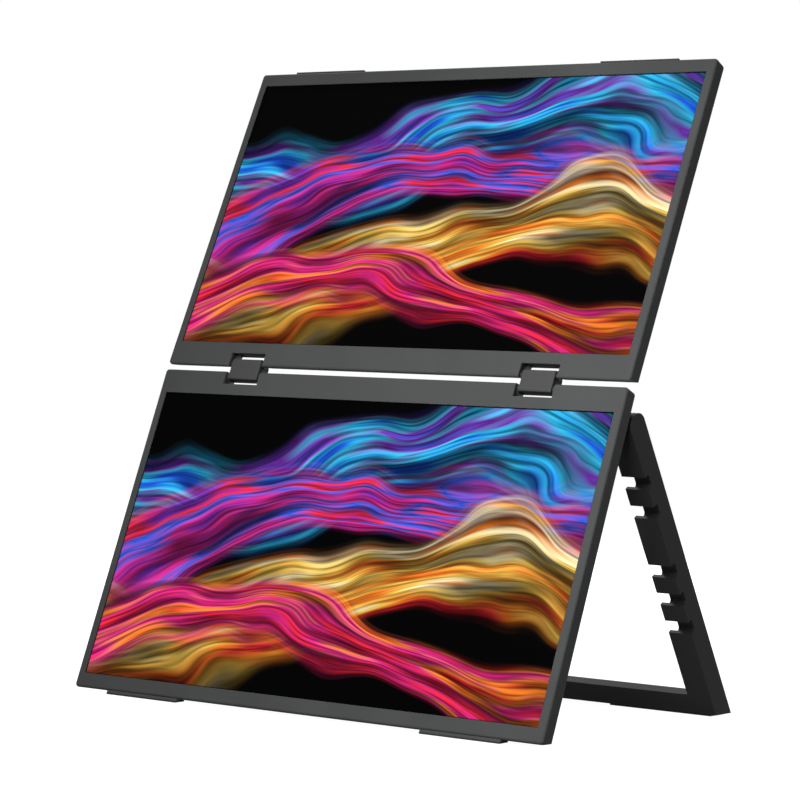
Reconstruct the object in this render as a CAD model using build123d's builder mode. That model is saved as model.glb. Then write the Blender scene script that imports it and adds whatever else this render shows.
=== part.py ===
import os
from math import cos, sin, tan, radians
from build123d import *

os.makedirs("parts", exist_ok=True)

# Sizes are in millimetres and angles in degrees.
# World frame: X to the viewer's right, Y to the back, Z up, table at Z = 0.

# Screen and casing
active_width = 344.2
active_height = 193.6
side_bezel = 5.4
hinge_bezel = 16.4
far_bezel = 9.4
casing_width = active_width + 2 * side_bezel
casing_height = active_height + hinge_bezel + far_bezel
casing_depth = 11.0
corner_radius = 2.2
bezel_depth = 2.0
lip_depth = 0.8
wall = 1.8
back_wall = 1.6
edge_round = 1.6
edge_taper = 22.0
back_round = 1.8
rebate_margin = 3.0
panel_clearance = 0.4
panel_thickness = 2.2
backlight_thickness = 2.2
backlight_inset = 1.2
board_thickness = 1.2
timing_width = 180.0
timing_height = 16.0
timing_place = 44.0
timing_chip = 12.0
timing_chip_height = 9.0
timing_chip_pitch = 50.0
timing_chip_thickness = 1.0

# Double hinge
screen_gap = 3.8
axis_spacing = 8.8
axis_depth = 4.0
axis_inset = (axis_spacing - screen_gap) / 2
hinge_side = 64.9
hinge_offset = casing_width / 2 - hinge_side
link_width = 23.4
link_half = 3.0
link_front = 3.4
link_back = 6.6
link_round = 1.8
link_back_round = 4.6
notch_width = 28.0
bezel_notch = 9.0
cover_notch = 10.9
shaft_radius = 1.5
press_clearance = 0.02
running_clearance = 0.05
ear_thickness = 1.5
ear_radius = 2.7
ear_side_gap = 0.35
bracket_depth = 1.8
bracket_length = 14.0
slot_clearance = 0.4
screw_radius = 1.0
screw_head = 1.7
screw_head_height = 0.8
fit_clearance = 0.05

# Posture on the table
recline = 22.0
bend = 3.0
stand_opening = 54.3
foot_height = 2.6
foot_length = 57.0
foot_side = 56.5
foot_offset = casing_width / 2 - foot_side
foot_depth = 8.0
pad_inset = 0.6
pad_height = 0.9

# Rear housing
housing_side = 17.4
housing_width = casing_width - 2 * housing_side
housing_depth = 15.5
housing_top_gap = 12.0
housing_bottom_gap = 9.5
housing_wall = 2.0
housing_corner = 4.0
housing_round = 3.0

# Kickstand
pivot_drop = 17.0
pivot_up = casing_height - pivot_drop
pivot_depth = 21.5
arm_half = 8.25
rail_width = 11.2
flange_width = 5.2
flange_depth = 2.6
arm_clearance = 1.0
bar_flange = 9.0
bar_height = 14.5
foot_pad = 1.0
foot_pad_length = 74.0
foot_pad_inset = 4.0
pin_radius = 2.2
bush_radius = 3.6
pin_reach = 13.0
pivot_block = 8.0
pivot_block_front = 13.0
pivot_block_drop = 8.0
cutter = 40.0
slot_length = 8.9
slot_depth = 4.6
slot_round = 2.0
slot_places = [35.5, 56.5, 100.0, 121.0, 142.0]

# Ports and buttons on the main board
board_side_gap = 6.0
main_board_half = housing_width / 2 - board_side_gap
board_end_gap = 6.5
board_top_gap = 11.5
main_board_low = pivot_up - slot_places[4] - board_end_gap
main_board_high = pivot_up - slot_places[0] + board_top_gap
main_board_thickness = 1.6
board_front = 17.0
board_cut_side = 50.0
board_cut_low = 59.0
board_spot_side = 31.0
board_spot_end = 14.0
board_post = 3.0
screw_post = 3.5
post_side_low_gap = 53.0
post_side_high_gap = 17.0
post_rise = 18.0
post_drop = 17.4
post_gap = 0.5
chip_size = 16.0
chip_small = 9.0
chip_small_height = 6.0
chip_thickness = 1.4
chip_rise = 30.0
vent_length = 26.0
vent_width = 3.0
vent_pitch = 8.0
vent_drop = 57.4
port_height = 3.2
port_reach = 8.0
usb_width = 9.0
hdmi_width = 11.2
jack_radius = 2.5
jack_bore = 1.8
jack_width = 6.4
jack_height = 5.0
jack_depth = 7.0
port_gap = 0.35
button_length = 7.0
button_height = 3.0
button_proud = 0.9
button_travel = 0.6
button_flange = 1.0
switch_width = 5.0
switch_length = 6.0
lamp_radius = 1.2
lamp_length = 7.0
lamp_base = 4.0
lamp_base_length = 5.0
speaker_width = 34.0
speaker_height = 8.0
speaker_thickness = 3.5
speaker_side = 30.0
speaker_rise = 9.0
speaker_slot = 6.0
speaker_slot_width = 1.8
speaker_slot_pitch = 4.5

# Planes of the lower screen, the links and the upper screen
arm_width = rail_width + flange_width
stand_half = housing_width / 2 + arm_clearance + arm_width
lean = radians(recline)
mid_lean = radians(recline + bend / 2)
upper_lean = radians(recline + bend)
stand_lean = radians(stand_opening - recline)
edge_height = foot_height
pivot_height = edge_height + pivot_up * cos(lean) - pivot_depth * sin(lean)
pivot_back = pivot_up * sin(lean) + pivot_depth * cos(lean)
foot_reach = (pivot_height - foot_pad + arm_half * sin(stand_lean)) / cos(stand_lean)
foot_back = pivot_back + foot_reach * sin(stand_lean) + arm_half * cos(stand_lean)
front_edge = -foot_height * tan(lean)
edge_back = -(foot_back + front_edge) / 2
lower_base = Plane(
    origin=(0, edge_back, edge_height), x_dir=(1, 0, 0), z_dir=(0, -cos(lean), sin(lean))
)
lower_face = Plane(
    origin=lower_base.from_local_coords((0, casing_height, 0)),
    x_dir=(-1, 0, 0),
    z_dir=(0, -cos(lean), sin(lean)),
)
lower_axis = lower_face.from_local_coords((0, axis_inset, -axis_depth))
link_side = Plane(
    origin=lower_axis, x_dir=(0, sin(mid_lean), cos(mid_lean)), z_dir=(1, 0, 0)
)
upper_axis = link_side.from_local_coords((axis_spacing, 0, 0))
upper_tilt = Plane(
    origin=upper_axis, x_dir=(1, 0, 0), z_dir=(0, -cos(upper_lean), sin(upper_lean))
)
upper_face = Plane(
    origin=upper_tilt.from_local_coords((0, -axis_inset, axis_depth)),
    x_dir=(1, 0, 0),
    z_dir=(0, -cos(upper_lean), sin(upper_lean)),
)
lower_side = Plane(origin=lower_face.origin, x_dir=lower_face.y_dir, z_dir=lower_face.x_dir)
upper_side = Plane(origin=upper_face.origin, x_dir=upper_face.y_dir, z_dir=upper_face.x_dir)
pivot_point = lower_base.from_local_coords((0, pivot_up, -pivot_depth))
stand_side = Plane(
    origin=pivot_point, x_dir=(0, sin(stand_lean), -cos(stand_lean)), z_dir=(1, 0, 0)
)
base_side = Plane(origin=lower_base.origin, x_dir=lower_base.y_dir, z_dir=(1, 0, 0))

# Shared places worked out from the sizes above
case_middle = casing_height / 2
window_middle = hinge_bezel + active_height / 2
slope = tan(radians(edge_taper))
taper_back = (casing_depth - bezel_depth) * slope
strip_start = wall + (casing_depth - back_wall - bezel_depth) * slope
cavity_start = cover_notch + wall
cavity_end = casing_height - strip_start
cavity_width = casing_width - 2 * wall
cavity_back = casing_depth - back_wall
strip_inner = hinge_offset - notch_width / 2 - wall
strip_outer = hinge_offset + notch_width / 2 + wall
panel_start = hinge_bezel - rebate_margin
panel_end = hinge_bezel + active_height + rebate_margin
panel_back = lip_depth + panel_thickness
backlight_back = panel_back + backlight_thickness
ear_spots = []
for side in (-1, 1):
    ear_spots.append(side * hinge_offset - link_width / 2 - ear_side_gap - ear_thickness)
    ear_spots.append(side * hinge_offset + link_width / 2 + ear_side_gap)
bracket_front = cavity_back - bracket_depth
bracket_start = cavity_start + 0.4
screw_spots = []
for side in (-1, 1):
    for step in (-8.0, 8.0):
        screw_spots.append((side * hinge_offset + step, bracket_start + bracket_length - 4.5))
housing_low = housing_bottom_gap
housing_high = casing_height - housing_top_gap
housing_middle = (housing_low + housing_high) / 2
housing_tall = housing_high - housing_low
housing_back = casing_depth + housing_depth
housing_inner = housing_back - housing_wall
board_back = board_front + main_board_thickness
port_level = board_front - port_height / 2
jack_level = board_front - jack_height / 2
port_places = [pivot_up - place for place in slot_places]
foot_run = arm_half * cos(stand_lean)
foot_short = (pivot_height - foot_pad - arm_half * sin(stand_lean)) / cos(stand_lean)
foot_front_y = edge_back + pivot_back + foot_short * sin(stand_lean) - foot_run
foot_back_y = edge_back + foot_back
bar_top = foot_short - bar_height
post_side = housing_width / 2 - post_side_low_gap
post_side_high = housing_width / 2 - post_side_high_gap
post_spots = [
    (-post_side, housing_low + post_rise),
    (post_side, housing_low + post_rise),
    (-post_side_high, housing_high - post_drop),
    (post_side_high, housing_high - post_drop),
    (0, housing_low + post_rise),
    (0, housing_high - post_drop),
]
board_spot_x = main_board_half - board_spot_side
board_spots = [
    (-board_spot_x, main_board_low + board_spot_end),
    (board_spot_x, main_board_low + board_spot_end),
    (-board_spot_x, main_board_high - board_spot_end),
    (board_spot_x, main_board_high - board_spot_end),
]
speaker_x = housing_width / 2 - speaker_side
speaker_up = housing_low + speaker_rise
vent_up = housing_high - vent_drop

# Lower bezel: front plate with the screen window, hinge notches and a rebate for the panel
with BuildPart() as lower_bezel:
    with BuildSketch(lower_face):
        with Locations((0, case_middle)):
            RectangleRounded(casing_width, casing_height, corner_radius)
        with Locations((0, window_middle)):
            Rectangle(active_width, active_height, mode=Mode.SUBTRACT)
        with Locations((-hinge_offset, 0), (hinge_offset, 0)):
            Rectangle(notch_width, 2 * bezel_notch, mode=Mode.SUBTRACT)
    extrude(amount=-bezel_depth)
    rim = lower_bezel.faces().sort_by(Axis(lower_face.origin, lower_face.z_dir))[-1]
    hinge_edges = []
    for edge in rim.outer_wire().edges():
        spot = lower_face.to_local_coords(edge.center())
        if abs(spot.Y) < 0.01 and edge.length > 10:
            hinge_edges.append(edge)
    fillet(hinge_edges, edge_round)
    with BuildSketch(lower_face.offset(-lip_depth)):
        with Locations((0, (panel_start + panel_end) / 2)):
            Rectangle(active_width + 2 * rebate_margin, panel_end - panel_start)
    extrude(amount=-casing_depth, mode=Mode.SUBTRACT)
lower_bezel.part.label = "lower_bezel"
export_step(lower_bezel.part, "parts/lower_bezel.step")

# Upper bezel: the same plate turned end for end, hinge edge at the bottom
with BuildPart() as upper_bezel:
    with BuildSketch(upper_face):
        with Locations((0, case_middle)):
            RectangleRounded(casing_width, casing_height, corner_radius)
        with Locations((0, window_middle)):
            Rectangle(active_width, active_height, mode=Mode.SUBTRACT)
        with Locations((-hinge_offset, 0), (hinge_offset, 0)):
            Rectangle(notch_width, 2 * bezel_notch, mode=Mode.SUBTRACT)
    extrude(amount=-bezel_depth)
    rim = upper_bezel.faces().sort_by(Axis(upper_face.origin, upper_face.z_dir))[-1]
    hinge_edges = []
    for edge in rim.outer_wire().edges():
        spot = upper_face.to_local_coords(edge.center())
        if abs(spot.Y) < 0.01 and edge.length > 10:
            hinge_edges.append(edge)
    fillet(hinge_edges, edge_round)
    with BuildSketch(upper_face.offset(-lip_depth)):
        with Locations((0, (panel_start + panel_end) / 2)):
            Rectangle(active_width + 2 * rebate_margin, panel_end - panel_start)
    extrude(amount=-casing_depth, mode=Mode.SUBTRACT)
upper_bezel.part.label = "upper_bezel"
export_step(upper_bezel.part, "parts/upper_bezel.step")

# Lower rear cover: hollow tray with rounded back edges, notch walls, bracket slots and screw pilots
with BuildPart() as lower_rear_cover:
    with BuildSketch(lower_face.offset(-bezel_depth)):
        with Locations((0, case_middle)):
            RectangleRounded(casing_width, casing_height, corner_radius)
        with Locations((-hinge_offset, 0), (hinge_offset, 0)):
            Rectangle(notch_width, 2 * cover_notch, mode=Mode.SUBTRACT)
    extrude(amount=bezel_depth - casing_depth)
    back = lower_rear_cover.faces().sort_by(Axis(lower_face.origin, lower_face.z_dir))[0]
    round_edges = []
    for edge in back.outer_wire().edges():
        spot = lower_face.to_local_coords(edge.center())
        in_notch = abs(abs(spot.X) - hinge_offset) < notch_width / 2 + 0.1 and 0.1 < spot.Y < 2 * cover_notch
        if not in_notch:
            round_edges.append(edge)
    fillet(round_edges, back_round - 0.1)
    with BuildSketch(lower_side.offset(-casing_width)):
        Polygon(
            (casing_height, -bezel_depth),
            (casing_height + 1, -casing_depth - 1),
            (casing_height - taper_back - slope, -casing_depth - 1),
            align=None,
        )
    extrude(amount=2 * casing_width, mode=Mode.SUBTRACT)
    with BuildSketch(lower_face.offset(-bezel_depth)):
        with Locations((0, (cavity_start + cavity_end) / 2)):
            Rectangle(cavity_width, cavity_end - cavity_start)
        with Locations((0, (strip_start + cavity_start) / 2)):
            Rectangle(2 * strip_inner, cavity_start - strip_start)
        strip_width = cavity_width / 2 - strip_outer
        with Locations((-(strip_outer + strip_width / 2), (strip_start + cavity_start) / 2)):
            Rectangle(strip_width, cavity_start - strip_start)
        with Locations((strip_outer + strip_width / 2, (strip_start + cavity_start) / 2)):
            Rectangle(strip_width, cavity_start - strip_start)
    extrude(amount=bezel_depth - cavity_back, mode=Mode.SUBTRACT)
    for spot in ear_spots:
        with BuildSketch(lower_face.offset(-axis_depth)):
            with Locations((spot + ear_thickness / 2, cover_notch + wall / 2)):
                Rectangle(ear_thickness + 2 * slot_clearance, wall + 1.0)
        extrude(amount=axis_depth - cavity_back, mode=Mode.SUBTRACT)
    with BuildSketch(lower_face.offset(-cavity_back)):
        with Locations(*screw_spots):
            Circle(screw_radius + fit_clearance)
    extrude(amount=-1.2, mode=Mode.SUBTRACT)
    with BuildSketch(lower_base.offset(-casing_depth)):
        with Locations(*post_spots):
            Circle(screw_radius + fit_clearance)
    extrude(amount=1.2, mode=Mode.SUBTRACT)
lower_rear_cover.part.label = "lower_rear_cover"
export_step(lower_rear_cover.part, "parts/lower_rear_cover.step")

# Upper rear cover: the same tray without the housing pilots
with BuildPart() as upper_rear_cover:
    with BuildSketch(upper_face.offset(-bezel_depth)):
        with Locations((0, case_middle)):
            RectangleRounded(casing_width, casing_height, corner_radius)
        with Locations((-hinge_offset, 0), (hinge_offset, 0)):
            Rectangle(notch_width, 2 * cover_notch, mode=Mode.SUBTRACT)
    extrude(amount=bezel_depth - casing_depth)
    back = upper_rear_cover.faces().sort_by(Axis(upper_face.origin, upper_face.z_dir))[0]
    round_edges = []
    for edge in back.outer_wire().edges():
        spot = upper_face.to_local_coords(edge.center())
        in_notch = abs(abs(spot.X) - hinge_offset) < notch_width / 2 + 0.1 and 0.1 < spot.Y < 2 * cover_notch
        if not in_notch:
            round_edges.append(edge)
    fillet(round_edges, back_round - 0.1)
    with BuildSketch(upper_side.offset(-casing_width)):
        Polygon(
            (0, -bezel_depth),
            (-1, -casing_depth - 1),
            (taper_back + slope, -casing_depth - 1),
            align=None,
        )
    extrude(amount=2 * casing_width, mode=Mode.SUBTRACT)
    with BuildSketch(upper_face.offset(-bezel_depth)):
        with Locations((0, (cavity_start + cavity_end) / 2)):
            Rectangle(cavity_width, cavity_end - cavity_start)
        with Locations((0, (strip_start + cavity_start) / 2)):
            Rectangle(2 * strip_inner, cavity_start - strip_start)
        strip_width = cavity_width / 2 - strip_outer
        with Locations((-(strip_outer + strip_width / 2), (strip_start + cavity_start) / 2)):
            Rectangle(strip_width, cavity_start - strip_start)
        with Locations((strip_outer + strip_width / 2, (strip_start + cavity_start) / 2)):
            Rectangle(strip_width, cavity_start - strip_start)
    extrude(amount=bezel_depth - cavity_back, mode=Mode.SUBTRACT)
    for spot in ear_spots:
        with BuildSketch(upper_face.offset(-axis_depth)):
            with Locations((spot + ear_thickness / 2, cover_notch + wall / 2)):
                Rectangle(ear_thickness + 2 * slot_clearance, wall + 1.0)
        extrude(amount=axis_depth - cavity_back, mode=Mode.SUBTRACT)
    with BuildSketch(upper_face.offset(-cavity_back)):
        with Locations(*screw_spots):
            Circle(screw_radius + fit_clearance)
    extrude(amount=-1.2, mode=Mode.SUBTRACT)
upper_rear_cover.part.label = "upper_rear_cover"
export_step(upper_rear_cover.part, "parts/upper_rear_cover.step")

# Screen stacks: glass panel, backlight and timing board of each screen
with BuildPart() as lower_lcd_panel:
    with BuildSketch(lower_face.offset(-lip_depth)):
        with Locations((0, (panel_start + panel_end) / 2)):
            Rectangle(
                active_width + 2 * rebate_margin - 2 * panel_clearance,
                panel_end - panel_start - 2 * panel_clearance,
            )
    extrude(amount=-panel_thickness)
lower_lcd_panel.part.label = "lower_lcd_panel"
export_step(lower_lcd_panel.part, "parts/lower_lcd_panel.step")

with BuildPart() as upper_lcd_panel:
    with BuildSketch(upper_face.offset(-lip_depth)):
        with Locations((0, (panel_start + panel_end) / 2)):
            Rectangle(
                active_width + 2 * rebate_margin - 2 * panel_clearance,
                panel_end - panel_start - 2 * panel_clearance,
            )
    extrude(amount=-panel_thickness)
upper_lcd_panel.part.label = "upper_lcd_panel"
export_step(upper_lcd_panel.part, "parts/upper_lcd_panel.step")

with BuildPart() as lower_backlight:
    with BuildSketch(lower_face.offset(-panel_back)):
        with Locations((0, (panel_start + panel_end) / 2)):
            Rectangle(
                active_width + 2 * rebate_margin - 2 * backlight_inset,
                panel_end - panel_start - 2 * backlight_inset,
            )
    extrude(amount=-backlight_thickness)
lower_backlight.part.label = "lower_backlight"
export_step(lower_backlight.part, "parts/lower_backlight.step")

with BuildPart() as upper_backlight:
    with BuildSketch(upper_face.offset(-panel_back)):
        with Locations((0, (panel_start + panel_end) / 2)):
            Rectangle(
                active_width + 2 * rebate_margin - 2 * backlight_inset,
                panel_end - panel_start - 2 * backlight_inset,
            )
    extrude(amount=-backlight_thickness)
upper_backlight.part.label = "upper_backlight"
export_step(upper_backlight.part, "parts/upper_backlight.step")

with BuildPart() as lower_timing_board:
    with BuildSketch(lower_face.offset(-backlight_back)):
        with Locations((0, timing_place)):
            Rectangle(timing_width, timing_height)
    extrude(amount=-board_thickness)
    with BuildSketch(lower_face.offset(-backlight_back - board_thickness)):
        with Locations(
            (-timing_chip_pitch, timing_place), (0, timing_place), (timing_chip_pitch, timing_place)
        ):
            Rectangle(timing_chip, timing_chip_height)
    extrude(amount=-timing_chip_thickness)
lower_timing_board.part.label = "lower_timing_board"
export_step(lower_timing_board.part, "parts/lower_timing_board.step")

with BuildPart() as upper_timing_board:
    with BuildSketch(upper_face.offset(-backlight_back)):
        with Locations((0, timing_place)):
            Rectangle(timing_width, timing_height)
    extrude(amount=-board_thickness)
    with BuildSketch(upper_face.offset(-backlight_back - board_thickness)):
        with Locations(
            (-timing_chip_pitch, timing_place), (0, timing_place), (timing_chip_pitch, timing_place)
        ):
            Rectangle(timing_chip, timing_chip_height)
    extrude(amount=-timing_chip_thickness)
upper_timing_board.part.label = "upper_timing_board"
export_step(upper_timing_board.part, "parts/upper_timing_board.step")

# Hinge brackets: a base plate inside each cover and two ears that carry the shaft in each notch
with BuildPart() as lower_hinge_brackets:
    with BuildSketch(lower_face.offset(-bracket_front)):
        with Locations(
            (-hinge_offset, bracket_start + bracket_length / 2),
            (hinge_offset, bracket_start + bracket_length / 2),
        ):
            Rectangle(notch_width - 0.9, bracket_length)
        with Locations(*screw_spots):
            Circle(screw_radius + fit_clearance, mode=Mode.SUBTRACT)
    extrude(amount=-bracket_depth)
    for spot in ear_spots:
        with BuildSketch(lower_side.offset(spot)):
            with Locations((axis_inset, -axis_depth)):
                Circle(ear_radius)
            with Locations((cover_notch + 1.7, -cavity_back + 1.2)):
                Rectangle(5.0, 2.4)
            make_hull()
            with Locations((axis_inset, -axis_depth)):
                Circle(shaft_radius + running_clearance, mode=Mode.SUBTRACT)
        extrude(amount=ear_thickness)
lower_hinge_brackets.part.label = "lower_hinge_brackets"
export_step(lower_hinge_brackets.part, "parts/lower_hinge_brackets.step")

with BuildPart() as upper_hinge_brackets:
    with BuildSketch(upper_face.offset(-bracket_front)):
        with Locations(
            (-hinge_offset, bracket_start + bracket_length / 2),
            (hinge_offset, bracket_start + bracket_length / 2),
        ):
            Rectangle(notch_width - 0.9, bracket_length)
        with Locations(*screw_spots):
            Circle(screw_radius + fit_clearance, mode=Mode.SUBTRACT)
    extrude(amount=-bracket_depth)
    for spot in ear_spots:
        with BuildSketch(upper_side.offset(spot)):
            with Locations((axis_inset, -axis_depth)):
                Circle(ear_radius)
            with Locations((cover_notch + 1.7, -cavity_back + 1.2)):
                Rectangle(5.0, 2.4)
            make_hull()
            with Locations((axis_inset, -axis_depth)):
                Circle(shaft_radius + running_clearance, mode=Mode.SUBTRACT)
        extrude(amount=ear_thickness)
upper_hinge_brackets.part.label = "upper_hinge_brackets"
export_step(upper_hinge_brackets.part, "parts/upper_hinge_brackets.step")

# Bracket screws
with BuildPart() as lower_bracket_screws:
    with BuildSketch(lower_face.offset(-bracket_front)):
        with Locations(*screw_spots):
            Circle(screw_head)
    extrude(amount=screw_head_height)
    with BuildSketch(lower_face.offset(-bracket_front)):
        with Locations(*screw_spots):
            Circle(screw_radius)
    extrude(amount=-bracket_depth - 1.0)
lower_bracket_screws.part.label = "lower_bracket_screws"
export_step(lower_bracket_screws.part, "parts/lower_bracket_screws.step")

with BuildPart() as upper_bracket_screws:
    with BuildSketch(upper_face.offset(-bracket_front)):
        with Locations(*screw_spots):
            Circle(screw_head)
    extrude(amount=screw_head_height)
    with BuildSketch(upper_face.offset(-bracket_front)):
        with Locations(*screw_spots):
            Circle(screw_radius)
    extrude(amount=-bracket_depth - 1.0)
upper_bracket_screws.part.label = "upper_bracket_screws"
export_step(upper_bracket_screws.part, "parts/upper_bracket_screws.step")

# Hinge links: two blocks, each bored for a lower and an upper shaft
with BuildPart() as hinge_link_left:
    with BuildSketch(link_side.offset(-hinge_offset - link_width / 2)) as block_left:
        with Locations((axis_spacing / 2, (link_front - link_back) / 2)):
            Rectangle(axis_spacing + 2 * link_half, link_front + link_back)
        fillet(block_left.vertices().sort_by(Axis.Y)[:2], link_back_round)
        fillet(block_left.vertices().sort_by(Axis.Y)[-2:], link_round)
        with Locations((0, 0), (axis_spacing, 0)):
            Circle(shaft_radius + press_clearance, mode=Mode.SUBTRACT)
    extrude(amount=link_width)
hinge_link_left.part.label = "hinge_link_left"
export_step(hinge_link_left.part, "parts/hinge_link_left.step")

with BuildPart() as hinge_link_right:
    with BuildSketch(link_side.offset(hinge_offset - link_width / 2)) as block_right:
        with Locations((axis_spacing / 2, (link_front - link_back) / 2)):
            Rectangle(axis_spacing + 2 * link_half, link_front + link_back)
        fillet(block_right.vertices().sort_by(Axis.Y)[:2], link_back_round)
        fillet(block_right.vertices().sort_by(Axis.Y)[-2:], link_round)
        with Locations((0, 0), (axis_spacing, 0)):
            Circle(shaft_radius + press_clearance, mode=Mode.SUBTRACT)
    extrude(amount=link_width)
hinge_link_right.part.label = "hinge_link_right"
export_step(hinge_link_right.part, "parts/hinge_link_right.step")

# Hinge shafts, pressed in the links and turning in the ears
shaft_length = link_width + 2 * ear_side_gap + 2 * ear_thickness + 0.4
with BuildPart() as lower_hinge_shafts:
    for side in (-1, 1):
        with BuildSketch(link_side.offset(side * hinge_offset - shaft_length / 2)):
            Circle(shaft_radius)
        extrude(amount=shaft_length)
lower_hinge_shafts.part.label = "lower_hinge_shafts"
export_step(lower_hinge_shafts.part, "parts/lower_hinge_shafts.step")

with BuildPart() as upper_hinge_shafts:
    for side in (-1, 1):
        with BuildSketch(link_side.offset(side * hinge_offset - shaft_length / 2)):
            with Locations((axis_spacing, 0)):
                Circle(shaft_radius)
        extrude(amount=shaft_length)
upper_hinge_shafts.part.label = "upper_hinge_shafts"
export_step(upper_hinge_shafts.part, "parts/upper_hinge_shafts.step")

# Feet under the lower screen, flush with its front and flat on the table
foot_slope = tan(lean)
with BuildPart() as lower_feet:
    for side in (-1, 1):
        with BuildSketch(base_side.offset(side * foot_offset - foot_length / 2)):
            Polygon(
                (0, 0),
                (0, -bezel_depth),
                ((foot_depth - bezel_depth) * slope, -foot_depth),
                (foot_depth * foot_slope - foot_height / cos(lean), -foot_depth),
                (-foot_height / cos(lean), 0),
                align=None,
            )
        extrude(amount=foot_length)
lower_feet.part.label = "lower_feet"
export_step(lower_feet.part, "parts/lower_feet.step")

# Soft pads on the top edge of the upper screen
with BuildPart() as upper_edge_pads:
    with BuildSketch(upper_face.offset(-pad_inset)):
        with Locations(
            (-foot_offset, casing_height + pad_height / 2),
            (foot_offset, casing_height + pad_height / 2),
        ):
            Rectangle(foot_length, pad_height)
    extrude(amount=pad_inset + back_round - casing_depth)
upper_edge_pads.part.label = "upper_edge_pads"
export_step(upper_edge_pads.part, "parts/upper_edge_pads.step")

# Rear housing: open box on the back of the lower screen with posts, port openings and vents
with BuildPart() as rear_housing:
    with BuildSketch(lower_base.offset(-casing_depth)):
        with Locations((0, housing_middle)):
            RectangleRounded(housing_width, housing_tall, housing_corner)
    extrude(amount=-housing_depth)
    back = rear_housing.faces().sort_by(Axis(lower_base.origin, lower_base.z_dir))[0]
    fillet(back.outer_wire().edges(), housing_round)
    with BuildSketch(lower_base.offset(-casing_depth)):
        with Locations((0, housing_middle)):
            Rectangle(housing_width - 2 * housing_wall, housing_tall - 2 * housing_wall)
    extrude(amount=housing_wall - housing_depth, mode=Mode.SUBTRACT)
    with BuildSketch(lower_base.offset(-casing_depth)):
        with Locations(*post_spots):
            Circle(screw_post)
    extrude(amount=housing_wall - housing_depth)
    with BuildSketch(lower_base.offset(-board_back)):
        with Locations(*board_spots):
            Circle(board_post)
    extrude(amount=board_back - housing_inner)
    with BuildSketch(lower_base.offset(-casing_depth)):
        with Locations(*post_spots):
            Circle(screw_radius + fit_clearance)
    extrude(amount=-housing_depth, mode=Mode.SUBTRACT)
    with BuildSketch(lower_base.offset(-housing_back)):
        with Locations(*post_spots):
            Circle(screw_head + 0.4)
    extrude(amount=1.2, mode=Mode.SUBTRACT)
    with BuildSketch(lower_base.offset(-board_back)):
        with Locations(*board_spots):
            Circle(screw_radius + fit_clearance)
    extrude(amount=-3.0, mode=Mode.SUBTRACT)
    with BuildSketch(lower_base.offset(-housing_back)):
        for column in range(13):
            with Locations(((column - 6) * vent_pitch, vent_up)):
                SlotOverall(vent_length, vent_width, rotation=90)
        for column in range(7):
            shift = (column - 3) * speaker_slot_pitch
            with Locations((-speaker_x + shift, speaker_up), (speaker_x + shift, speaker_up)):
                SlotOverall(speaker_slot, speaker_slot_width, rotation=90)
    extrude(amount=housing_wall, mode=Mode.SUBTRACT)
    with BuildSketch(base_side.offset(housing_width / 2 - housing_wall)):
        with Locations((port_places[0], -jack_level)):
            Circle(jack_radius + port_gap)
        with Locations(
            (port_places[1], -port_level), (port_places[2], -port_level), (port_places[4], -port_level)
        ):
            SlotOverall(usb_width + 2 * port_gap, port_height + 2 * port_gap)
        with Locations((port_places[3], -port_level)):
            Rectangle(hdmi_width + 2 * port_gap, port_height + 2 * port_gap)
    extrude(amount=housing_wall, mode=Mode.SUBTRACT)
    with BuildSketch(base_side.offset(-housing_width / 2)):
        for place in port_places[0:4]:
            with Locations((place, -port_level)):
                SlotOverall(button_length + 2 * port_gap, button_height + 2 * port_gap)
        with Locations((port_places[4], -port_level)):
            Circle(lamp_radius + port_gap)
    extrude(amount=housing_wall, mode=Mode.SUBTRACT)
    with BuildSketch(base_side.offset(-housing_width / 2)):
        with Locations((pivot_up, -pivot_depth)):
            Circle(pin_radius + press_clearance)
    extrude(amount=housing_width, mode=Mode.SUBTRACT)
rear_housing.part.label = "rear_housing"
export_step(rear_housing.part, "parts/rear_housing.step")

# Housing screws, heads sunk in the counterbores
with BuildPart() as housing_screws:
    with BuildSketch(lower_base.offset(-housing_back + 1.2)):
        with Locations(*post_spots):
            Circle(screw_head)
    extrude(amount=-screw_head_height)
    with BuildSketch(lower_base.offset(-housing_back + 1.2)):
        with Locations(*post_spots):
            Circle(screw_radius)
    extrude(amount=housing_depth - 1.2 + 1.0)
housing_screws.part.label = "housing_screws"
export_step(housing_screws.part, "parts/housing_screws.step")

# Main board on its posts, with chips and screws
with BuildPart() as main_board:
    with BuildSketch(lower_base.offset(-board_front)):
        with Locations((0, (main_board_low + main_board_high) / 2)):
            Rectangle(2 * main_board_half, main_board_high - main_board_low)
        with Locations((0, main_board_high)):
            Rectangle(
                2 * main_board_half - 2 * board_cut_side,
                2 * (main_board_high - main_board_low - board_cut_low),
                mode=Mode.SUBTRACT,
            )
        with Locations(*board_spots):
            Circle(screw_radius + fit_clearance, mode=Mode.SUBTRACT)
        with Locations(*post_spots):
            Circle(screw_post + post_gap, mode=Mode.SUBTRACT)
    extrude(amount=-main_board_thickness)
main_board.part.label = "main_board"
export_step(main_board.part, "parts/main_board.step")

with BuildPart() as board_chips:
    with BuildSketch(lower_base.offset(-board_front)):
        with Locations((-2.5 * chip_size, main_board_low + chip_rise), (chip_size, main_board_low + chip_rise)):
            Rectangle(chip_size, chip_size)
        with Locations(
            (4 * chip_size, main_board_low + chip_rise),
            (5 * chip_size, main_board_low + chip_rise),
            (-5 * chip_size, main_board_low + chip_rise),
        ):
            Rectangle(chip_small, chip_small_height)
    extrude(amount=chip_thickness)
board_chips.part.label = "board_chips"
export_step(board_chips.part, "parts/board_chips.step")

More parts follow.
